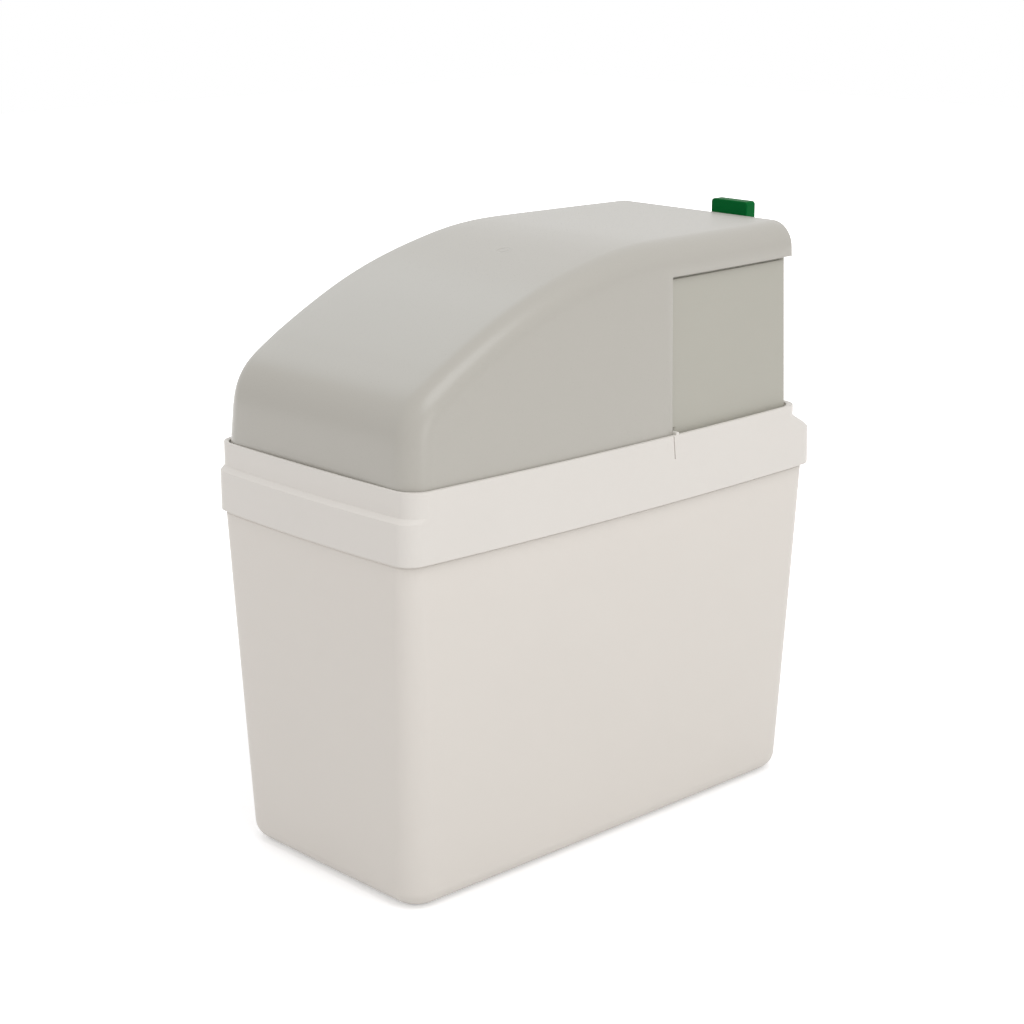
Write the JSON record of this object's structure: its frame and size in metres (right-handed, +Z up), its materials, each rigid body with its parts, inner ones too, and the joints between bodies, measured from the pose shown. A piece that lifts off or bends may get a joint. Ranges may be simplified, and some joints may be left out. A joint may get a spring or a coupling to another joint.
{
  "type": "water softener",
  "caption": "Compact block-salt water softener: tapered white tub with a collar, arched grey lift-off lid, rear valve cover, green bypass handle, resin vessels, metering valve and brine float.",
  "frame": {"origin": "middle of the tub's underside, on the floor", "axes": "+X from the low end of the lid to the plumbing end, +Y across, +Z up"},
  "size_m": [0.5085, 0.254, 0.5067],
  "materials": {
    "tub_white": "satin moulded plastic",
    "collar_white": "satin moulded plastic",
    "panel_white": "satin moulded plastic",
    "lid_grey": "fine-grained moulded plastic",
    "cover_grey": "fine-grained moulded plastic",
    "handle_green": "glossy moulded plastic",
    "valve_black": "glass-filled plastic",
    "vessel_dark": "blow-moulded plastic",
    "cap_dark": "moulded plastic",
    "fitting_dark": "moulded plastic",
    "resin_amber": "packed resin beads",
    "pipe_white": "extruded plastic",
    "strainer_blue": "moulded plastic",
    "seal_black": "moulded rubber",
    "screw_steel": "plain steel",
    "spool_cream": "turned plastic",
    "gear_white": "moulded plastic",
    "disc_orange": "moulded plastic",
    "plate_grey": "moulded plastic",
    "plug_grey": "turned plastic",
    "grid_white": "moulded plastic",
    "float_orange": "closed foam",
    "rod_steel": "drawn rod",
    "line_white": "extruded tube"
  },
  "bodies": {
    "cabinet": {"brine_tank": "tub_white", "top_frame": "collar_white", "partition": "panel_white", "rear_cover": "cover_grey", "cover_screws": "screw_steel", "vessel_stand": "fitting_dark", "vessel_a": "vessel_dark", "vessel_b": "vessel_dark", "resin_bed_a": "resin_amber", "resin_bed_b": "resin_amber", "riser_a": "pipe_white", "riser_b": "pipe_white", "lower_strainer_a": "strainer_blue", "lower_strainer_b": "strainer_blue", "upper_strainer_a": "strainer_blue", "upper_strainer_b": "strainer_blue", "neck_seals": "seal_black", "neck_nuts": "valve_black", "valve_body": "valve_black", "spool_plugs": "valve_black", "meter_plate": "plate_grey", "valve_cap": "cap_dark", "cap_seal": "seal_black", "cap_screws": "screw_steel", "bypass_body": "valve_black", "bypass_seals": "seal_black", "flange_screws": "screw_steel", "bypass_gland": "valve_black", "gland_screws": "screw_steel", "salt_grid": "grid_white", "brine_well": "pipe_white", "well_cap": "fitting_dark", "brine_valve": "pipe_white", "brine_line": "line_white", "brine_spigot": "fitting_dark", "drain_spigot": "fitting_dark", "overflow_elbow": "fitting_dark", "overflow_nut": "fitting_dark", "overflow_gasket": "seal_black"},
    "lid": {"lid": "lid_grey"},
    "bypass_rotor": {"bypass_plug": "plug_grey", "bypass_handle": "handle_green", "handle_pin": "screw_steel"},
    "disc": {"control_disc": "disc_orange"},
    "gear": {"reduction_gear": "gear_white"},
    "turbine": {"meter_turbine": "gear_white"},
    "spool": {"changeover_spool": "spool_cream"},
    "float": {"brine_float": "float_orange", "float_rod": "rod_steel"}
  },
  "joints": [
    {"name": "lid_lift", "type": "slide", "parent": "cabinet", "child": "lid", "axis": [0, 0, 1], "range_m": [0, 0.16]},
    {"name": "bypass_turn", "type": "hinge", "parent": "cabinet", "child": "bypass_rotor", "pos_m": [0.24, -0.0165, 0.372], "axis": [0, 0, 1], "range_deg": [0, 90]},
    {"name": "disc_spin", "type": "hinge", "parent": "cabinet", "child": "disc", "pos_m": [0.1342, 0.01147, 0.394], "axis": [0, 0, 1], "continuous": true},
    {"name": "gear_spin", "type": "hinge", "parent": "cabinet", "child": "gear", "pos_m": [0.1342, -0.01853, 0.394], "axis": [0, 0, 1], "continuous": true},
    {"name": "turbine_spin", "type": "hinge", "parent": "cabinet", "child": "turbine", "pos_m": [0.155, -0.0305, 0.38], "axis": [0, 0, 1], "continuous": true},
    {"name": "spool_shift", "type": "slide", "parent": "cabinet", "child": "spool", "axis": [0, 1, 0], "range_m": [0, 0.014]},
    {"name": "float_rise", "type": "slide", "parent": "cabinet", "child": "float", "axis": [0, 0, 1], "range_m": [0, 0.014]}
  ],
  "couplings": [
    {"joint": "gear_spin", "follows": "disc_spin", "ratio": -4},
    {"joint": "turbine_spin", "follows": "disc_spin", "ratio": 12}
  ]
}
